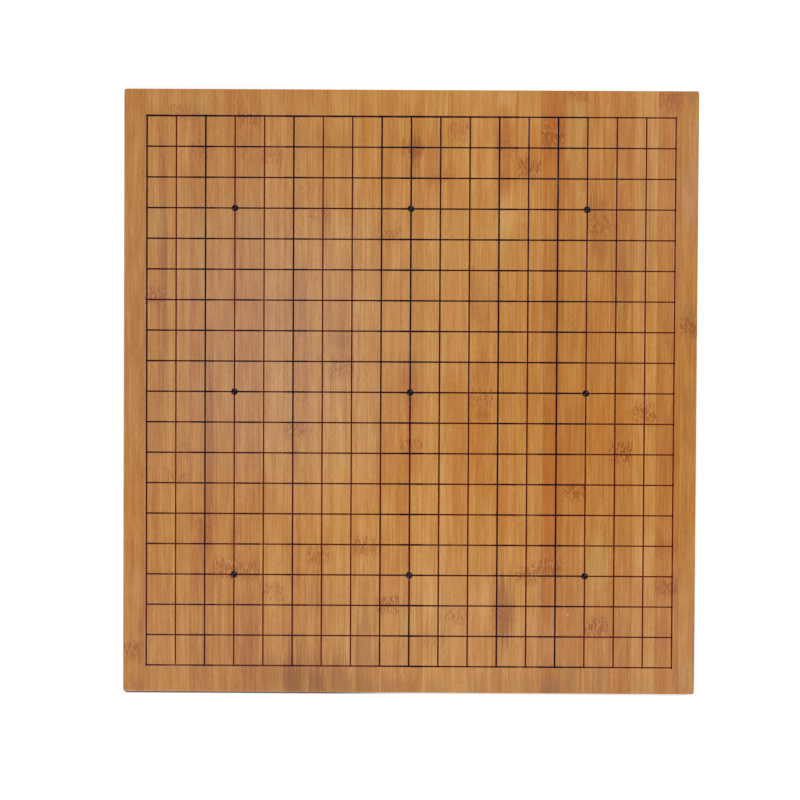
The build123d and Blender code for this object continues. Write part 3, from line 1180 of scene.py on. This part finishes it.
class BackPly(bpy.types.Operator):
    """Gives each strip of the back ply its own bamboo"""

    bl_idname = "weiqi_board.back_ply"
    bl_label = "Back Ply"

    def execute(self, context):
        shared_groups()
        chance = random.Random(BACK_SEED)
        for number, name in enumerate(BACK_STRIPS, start=1):
            knuckles = chance_knuckles(chance, HALF_LENGTH / MM)
            tone = chance.gauss(0, BACK_TONE_SPREAD)
            warmth = chance.uniform(0, BACK_WARMTH)
            give(name, strip_material(
                name, context.scene.weiqi_bamboo, BACK_SEED + number, tone, warmth, knuckles))
        return {"FINISHED"}


class Core(bpy.types.Operator):
    """Gives the crosswise strips of the core bamboo whose tone changes from strip to strip"""

    bl_idname = "weiqi_board.core"
    bl_label = "Core"

    def execute(self, context):
        shared_groups()
        bamboo = context.scene.weiqi_bamboo
        material, shading = new_material("core_strips")
        position = object_position(shading)
        place = shading.split(position)
        pitch = CORE_STRIP_MM * MM
        count = (place["Y"] + HALF_LENGTH) / pitch
        number = shading.math("FLOOR", count)
        chance = shading.output(
            "Value", "ShaderNodeTexWhiteNoise", {"W": number}, noise_dimensions="1D")
        tone = chance * CORE_TONE_SPREAD + CORE_DARKEST
        turned = shading.combine(place["Y"], place["X"], place["Z"])
        wood, height = grain_of(shading, bamboo, turned, number, tone, CORE_WARMTH)
        within = shading.math("FRACT", count) * pitch
        wood = seamed(shading, bamboo, wood, within, 0.0, pitch, CORE_SEAM_STRENGTH)
        varnish(shading, bamboo, position, wood, height)
        give("core_strips", material)
        return {"FINISHED"}


class GlueFilms(bpy.types.Operator):
    """Gives the two films of glue between the plies an uneven amber brown"""

    bl_idname = "weiqi_board.glue_films"
    bl_label = "Glue Films"

    def execute(self, context):
        bamboo = context.scene.weiqi_bamboo
        material, shading = new_material("glue_film")
        position = object_position(shading) * PER_METRE
        patches = shading.noise(position, 7, 7, detail=3)
        grains = shading.noise(position, 0.6, 0.6, detail=2)
        level = patches * 2.0 + grains + 0.4
        finish_material(shading, {
            "Base Color": shading.mix(shading.ramp(level, 0.0, 1.0), bamboo.glue, bamboo.dark),
            "Roughness": shading.ramp(level, 0.0, 1.0, 0.3, 0.5), "Specular IOR Level": 0.4,
            "Coat Weight": 1.0, "Coat Roughness": bamboo.coat_roughness,
        }, grains, GLUE_RELIEF_MM)
        give("upper_glue_film", material)
        give("lower_glue_film", material)
        return {"FINISHED"}


def by_stretch(shading, across, starts, levels):
    """The level of the stretch across the board that a place lies in. Each stretch runs from its start
    to the next one's."""
    board_width = 2 * HALF_WIDTH
    node = shading.node("ShaderNodeValToRGB", {"Fac": across / board_width + 0.5})
    node.color_ramp.interpolation = "CONSTANT"
    stops = node.color_ramp.elements
    while len(stops) < len(levels):
        stops.new(1.0)
    for stop, start, level in zip(stops, starts, levels, strict=True):
        stop.position = start / board_width + 0.5
        stop.color = (level, level, level, 1.0)
    return Value(shading, node.outputs["Color"])


def grid_thickness(shading, position):
    """How thick the paint lies: by the face strip in the crosswise grooves, by the groove in the
    lengthwise ones."""
    across = shading.split(position)["X"]
    pitch = SQUARE_WIDTH_MM * MM
    strip_starts = [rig.box(name)[0].x for name in FACE_STRIPS]
    groove_starts = [(number - MIDDLE_LINE - 0.5) * pitch for number in range(len(LINE_PAINT))]
    by_strip = by_stretch(shading, across, strip_starts, FACE_PAINT)
    by_groove = by_stretch(shading, across, groove_starts, LINE_PAINT)
    in_crosswise = off_nearest(across, pitch) > GROOVE_WIDTH_MM * MM / 2
    return in_crosswise * (by_strip - by_groove) + by_groove


def paint_material(name, paint, thick, bloom, dustiness, gloss, thickness=None):
    """Dark paint. Without a thickness of its own it follows the grooves and the face strips."""
    material, shading = new_material(name)
    position = object_position(shading)
    if thickness is None:
        thickness = grid_thickness(shading, position)
    painted = shading.group("Brushed Paint", {
        "Position": position, "Thick": thick, "Thin": paint.thin, "Dust": DUST_AND_GLINT, "Bloom": bloom,
        "Thickness": thickness, "Dustiness": dustiness, "Pitch X": SQUARE_WIDTH_MM * MM,
        "Pitch Y": SQUARE_LENGTH_MM * MM,
    })
    finish_material(shading, {
        "Base Color": painted["Color"], "Roughness": painted["Roughness"],
        "Specular IOR Level": gloss, "Coat Weight": gloss, "Coat Roughness": PAINT_COAT_ROUGHNESS,
    }, painted["Height"], BRUSH_RELIEF_MM)
    return material


class GridPaint(bpy.types.Operator):
    """Gives the paint in the grid's grooves its thick and thin stretches"""

    bl_idname = "weiqi_board.grid_paint"
    bl_label = "Grid Line Paint"

    def execute(self, context):
        shared_groups()
        paint = context.scene.weiqi_paint
        give("grid_line_paint", paint_material(
            "grid_line_paint", paint, paint.black, GRID_PAINTED_SHEEN, dustiness=0.3, gloss=0.04))
        return {"FINISHED"}


def arc_profile(radius, half_width, steps):
    """Rings from the middle out along a ball's lowest part: each ring's radius and its height."""
    widest = math.asin(half_width / radius)
    angles = [widest * step / steps for step in range(1, steps + 1)]
    return [(radius * math.sin(angle), -radius * math.cos(angle)) for angle in angles]


def star_profile(paint):
    """Rings of one star point's film of paint: up its open side, over the rim and down behind it.
    Each ring is a radius and a height over the face."""
    half_width = paint.star_diameter / 2
    ball = (half_width**2 + paint.star_depth**2) / (2 * paint.star_depth)
    ball_height = ball - paint.star_depth
    inner_ball = ball - paint.star_thickness
    inner_half = math.sqrt(inner_ball**2 - ball_height**2)
    open_side = [(r, ball_height + z) for r, z in arc_profile(inner_ball, inner_half, STAR_ARC_STEPS)]
    rim = [
        (half_width - paint.star_thickness * 0.4, paint.rim_height * 0.8),
        (half_width, paint.rim_height),
        (half_width + paint.rim_overlap * 0.7, paint.rim_height * 0.7),
        (half_width + paint.rim_overlap, 0.0),
    ]
    back = [(r, ball_height + z) for r, z in arc_profile(ball, half_width, STAR_ARC_STEPS)]
    return open_side + rim + back[::-1]


def clear_selection():
    """Leaves edit mode and selects nothing."""
    if bpy.context.mode != "OBJECT":
        bpy.ops.object.mode_set(mode="OBJECT")
    bpy.ops.object.select_all(action="DESELECT")


def groove_bar(name, open_width, turn):
    """Square bar on its edge that leaves a groove of the given width at the face."""
    reach = BAR_REACH_MM * MM
    height = FACE_Z - open_width / 2 + reach
    bpy.ops.mesh.primitive_cylinder_add(
        vertices=4, radius=reach, depth=BAR_LENGTH_MM * MM, location=(0, 0, height), rotation=turn)
    bar = bpy.context.object
    bar.name = name
    bpy.ops.object.transform_apply(location=True, rotation=True, scale=True)
    bpy.ops.object.select_all(action="DESELECT")
    return bar


def cut_with(piece, bar):
    """Cuts the bar's shape out of the piece and removes the bar."""
    bpy.context.view_layer.objects.active = piece
    piece.select_set(True)
    cut = piece.modifiers.new("Groove", "BOOLEAN")
    cut.operation = "DIFFERENCE"
    cut.solver = "EXACT"
    cut.object = bar
    bpy.ops.object.modifier_apply(modifier=cut.name)
    bpy.data.objects.remove(bar)


def model_star_point(paint):
    """Models the film of paint of the middle star point: a lathed dish, notched where grooves run in."""
    clear_selection()
    rings = star_profile(paint)
    radius, height = rings[0]
    bpy.ops.mesh.primitive_circle_add(
        vertices=STAR_RING_VERTICES, radius=radius, location=(0, 0, FACE_Z + height),
        fill_type="TRIFAN")
    dish = bpy.context.object
    bpy.ops.object.transform_apply(location=True)
    bpy.ops.object.mode_set(mode="EDIT")
    bpy.ops.mesh.select_all(action="DESELECT")
    bpy.ops.mesh.select_non_manifold()
    for next_radius, next_height in rings[1:]:
        bpy.ops.mesh.extrude_region_move(TRANSFORM_OT_translate={"value": (0, 0, next_height - height)})
        growth = next_radius / radius
        bpy.ops.transform.resize(value=(growth, growth, 1))
        radius, height = next_radius, next_height
    bpy.ops.mesh.extrude_region_move()
    bpy.ops.mesh.merge(type="CENTER")
    bpy.ops.mesh.select_all(action="SELECT")
    bpy.ops.mesh.remove_doubles(threshold=WELD_MM * MM)
    bpy.ops.mesh.normals_make_consistent(inside=False)
    bpy.ops.object.mode_set(mode="OBJECT")
    bpy.ops.object.select_all(action="DESELECT")
    quarter = math.radians(90)
    cut_with(dish, groove_bar("lengthwise_bar", paint.lengthwise_groove, (quarter, 0, 0)))
    cut_with(dish, groove_bar("crosswise_bar", paint.crosswise_groove, (0, quarter, 0)))
    bpy.ops.object.shade_smooth_by_angle(angle=math.radians(SMOOTH_DEGREES))
    return dish


class StarPoints(bpy.types.Operator):
    """Models the nine star points' dishes of paint and puts them in place of the model's plain ones"""

    bl_idname = "weiqi_board.star_points"
    bl_label = "Star Points"

    def execute(self, context):
        shared_groups()
        paint = context.scene.weiqi_paint
        pattern = model_star_point(paint)
        material = paint_material(
            "star_paint", paint, paint.star, STAR_PAINTED_SHEEN, dustiness=0.08, gloss=0.1, thickness=1.2)
        places = [(column, row) for row in STAR_LINES for column in STAR_LINES]
        for number, (column, row) in enumerate(places, start=1):
            star = pattern.copy()
            star.data = pattern.data.copy()
            star.name = f"star_point_{number}"
            context.scene.collection.objects.link(star)
            place = (column * SQUARE_WIDTH_MM * MM, row * SQUARE_LENGTH_MM * MM, 0)
            star.data.transform(Matrix.Translation(place))
            star.data.materials.clear()
            star.data.materials.append(material)
            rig.ride(star, "root")
            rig.slot(star, "star_paint")
            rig.replaces(star, "star_point_paint")
        bpy.data.objects.remove(pattern)
        return {"FINISHED"}


def floor_material(stage):
    """Pale floor that reads as white round the board and keeps the board's shadow. Close to the board a
    painted contact shadow darkens it, most at the near left."""
    material, shading = new_material("pale_floor")
    position = object_position(shading)
    place = shading.split(position)
    off_side = shading.most(abs(place["X"]) - (HALF_WIDTH - SIDE_INSET), 0.0)
    off_end = shading.most(abs(place["Y"]) - HALF_LENGTH, 0.0)
    outside = shading.length(off_side, off_end)
    painted_contact_shadow = shading.ramp(outside, *CONTACT_FADE, 1.0, 0.0)
    towards_near = shading.ramp(place["Y"], -HALF_LENGTH, HALF_LENGTH * 0.8, 1.0, CONTACT_AT_FAR_END)
    towards_left = shading.ramp(place["X"], *CONTACT_WEAKENS, 1.0, CONTACT_AT_RIGHT)
    # Painted contact shadow: close to the board the floor's colour goes dark and its lift towards white drops
    dark = painted_contact_shadow * towards_near * towards_left
    mottle = shading.ramp(shading.noise(position, 0.4, 0.4, detail=3), -0.3, 0.3)
    tint = shading.mix(dark, shading.mix(mottle, stage.floor, FLOOR_MOTTLE), FLOOR_SHADOW)
    rays = shading.outputs("ShaderNodeLightPath")
    seen = shading.most(rays["Is Camera Ray"], rays["Is Glossy Ray"], rays["Is Transmission Ray"])
    finish_material(shading, {
        "Base Color": tint, "Roughness": 0.9, "Specular IOR Level": 0.1, "Emission Color": WHITE,
        "Emission Strength": seen * (1.0 - dark) * WHITE_LIFT,
    })
    return material


def add_floor(stage):
    """Large floor a hair under the board, so that their faces don't coincide, its far sides curved up
    a little."""
    clear_selection()
    bpy.ops.mesh.primitive_grid_add(
        x_subdivisions=FLOOR_CELLS, y_subdivisions=FLOOR_CELLS, size=2 * FLOOR_REACH)
    floor = bpy.context.object
    floor.name = "floor"
    for vertex in floor.data.vertices:
        beyond = max(0.0, vertex.co.xy.length - FLOOR_FLAT)
        vertex.co.z = FLOOR_CURVE * beyond**2 - FLOOR_GAP_MM * MM
    bpy.ops.object.shade_smooth()
    floor.data.materials.append(floor_material(stage))
    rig.stage(floor)


def set_world(stage):
    """Soft light from all around that the camera sees as white."""
    world = bpy.data.worlds.new("studio")
    world.use_nodes = True
    world.node_tree.nodes.clear()
    shading = Shading(world.node_tree)
    upward = shading.split(shading.output("Generated", "ShaderNodeTexCoord"))["Z"]
    light = shading.ramp(upward, 0.1, 0.9, stage.walls, stage.ceiling)
    around = shading.output("Background", "ShaderNodeBackground", {"Color": WHITE, "Strength": light})
    camera = shading.output("Background", "ShaderNodeBackground", {"Color": WHITE, "Strength": 1.0})
    on_camera = shading.outputs("ShaderNodeLightPath")["Is Camera Ray"]
    both = shading.node("ShaderNodeMixShader")
    for socket, value in zip(both.inputs, (on_camera, around, camera), strict=True):
        shading.feed(socket, value)
    shading.node("ShaderNodeOutputWorld", {"Surface": Value(shading, both.outputs["Shader"])})
    bpy.context.scene.world = world


def add_lamp(name, place, aim, size, power, tint=(1, 1, 1)):
    """Soft box at a place, turned to what it lights."""
    bpy.ops.object.light_add(type="AREA", location=place)
    lamp = bpy.context.object
    lamp.name = name
    lamp.rotation_euler = (Vector(aim) - Vector(place)).to_track_quat("-Z", "Y").to_euler()
    lamp.data.shape = "RECTANGLE"
    lamp.data.size, lamp.data.size_y = size
    lamp.data.energy = power
    lamp.data.color = tint
    lamp.visible_camera = False


def add_panels(stage):
    """Adds the panels whose sheen shows in the varnish."""
    for name, (place, size, brightness, tint) in PANELS.items():
        power = brightness * stage.sheen * math.pi * size[0] * size[1]
        straight_below = (place[0], place[1], 0)
        add_lamp(name, place, straight_below, size, power, tint)


class Stage(bpy.types.Operator):
    """Sets the floor, the lamps, the surrounding light and the camera over the board"""

    bl_idname = "weiqi_board.stage"
    bl_label = "Stage"

    def execute(self, context):
        stage = context.scene.weiqi_stage
        add_floor(stage)
        set_world(stage)
        face = (0, 0, FACE_Z)
        add_lamp("key_lamp", KEY_LAMP_PLACE, face, LAMP_SIZE, stage.key_power)
        add_lamp("fill_lamp", FILL_LAMP_PLACE, face, LAMP_SIZE, stage.fill_power)
        add_panels(stage)
        bpy.ops.object.camera_add(location=stage.camera_place)
        camera = bpy.context.object
        camera.name = "camera"
        camera.rotation_mode = "ZYX"
        camera.rotation_euler = Euler(stage.camera_tilt, "ZYX")
        camera.data.lens = stage.lens
        context.scene.camera = camera
        context.scene.view_settings.view_transform = "Standard"
        return {"FINISHED"}


class BoardPanel(bpy.types.Panel):
    """Lists the steps of finishing the board and their settings"""

    bl_idname = "VIEW3D_PT_weiqi_board"
    bl_label = "Weiqi Board"
    bl_space_type = "VIEW_3D"
    bl_region_type = "UI"
    bl_category = "Weiqi Board"

    def draw(self, context):
        layout = self.layout
        for operator in OPERATORS:
            layout.operator(operator.bl_idname)
        for owner in SETTINGS:
            settings = getattr(context.scene, owner)
            box = layout.box()
            for name in type(settings).__annotations__:
                box.prop(settings, name)


OPERATORS = (FacePly, BackPly, Core, GlueFilms, GridPaint, StarPoints, Stage)
SETTINGS = {"weiqi_bamboo": BambooSettings, "weiqi_paint": PaintSettings, "weiqi_stage": StageSettings}


def register():
    """Adds the settings, the steps and the panel."""
    for group in (*SETTINGS.values(), *OPERATORS, BoardPanel):
        bpy.utils.register_class(group)
    for name, group in SETTINGS.items():
        setattr(bpy.types.Scene, name, bpy.props.PointerProperty(type=group))


def unregister():
    """Takes the settings, the steps and the panel away again."""
    for name in SETTINGS:
        delattr(bpy.types.Scene, name)
    for group in (BoardPanel, *reversed(OPERATORS), *reversed(SETTINGS.values())):
        bpy.utils.unregister_class(group)


def main():
    """Runs every step in order and writes the two boxes."""
    register()
    for operator in OPERATORS:
        step = operator.bl_idname.split(".")[1]
        getattr(bpy.ops.weiqi_board, step)()
    boxes = {"cad": CAD_BOX, "visual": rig.bounds()}
    with open(SIZE_FILE, "w") as file:
        json.dump({name: [list(corner) for corner in corners] for name, corners in boxes.items()}, file)


if __name__ == "__main__":
    main()
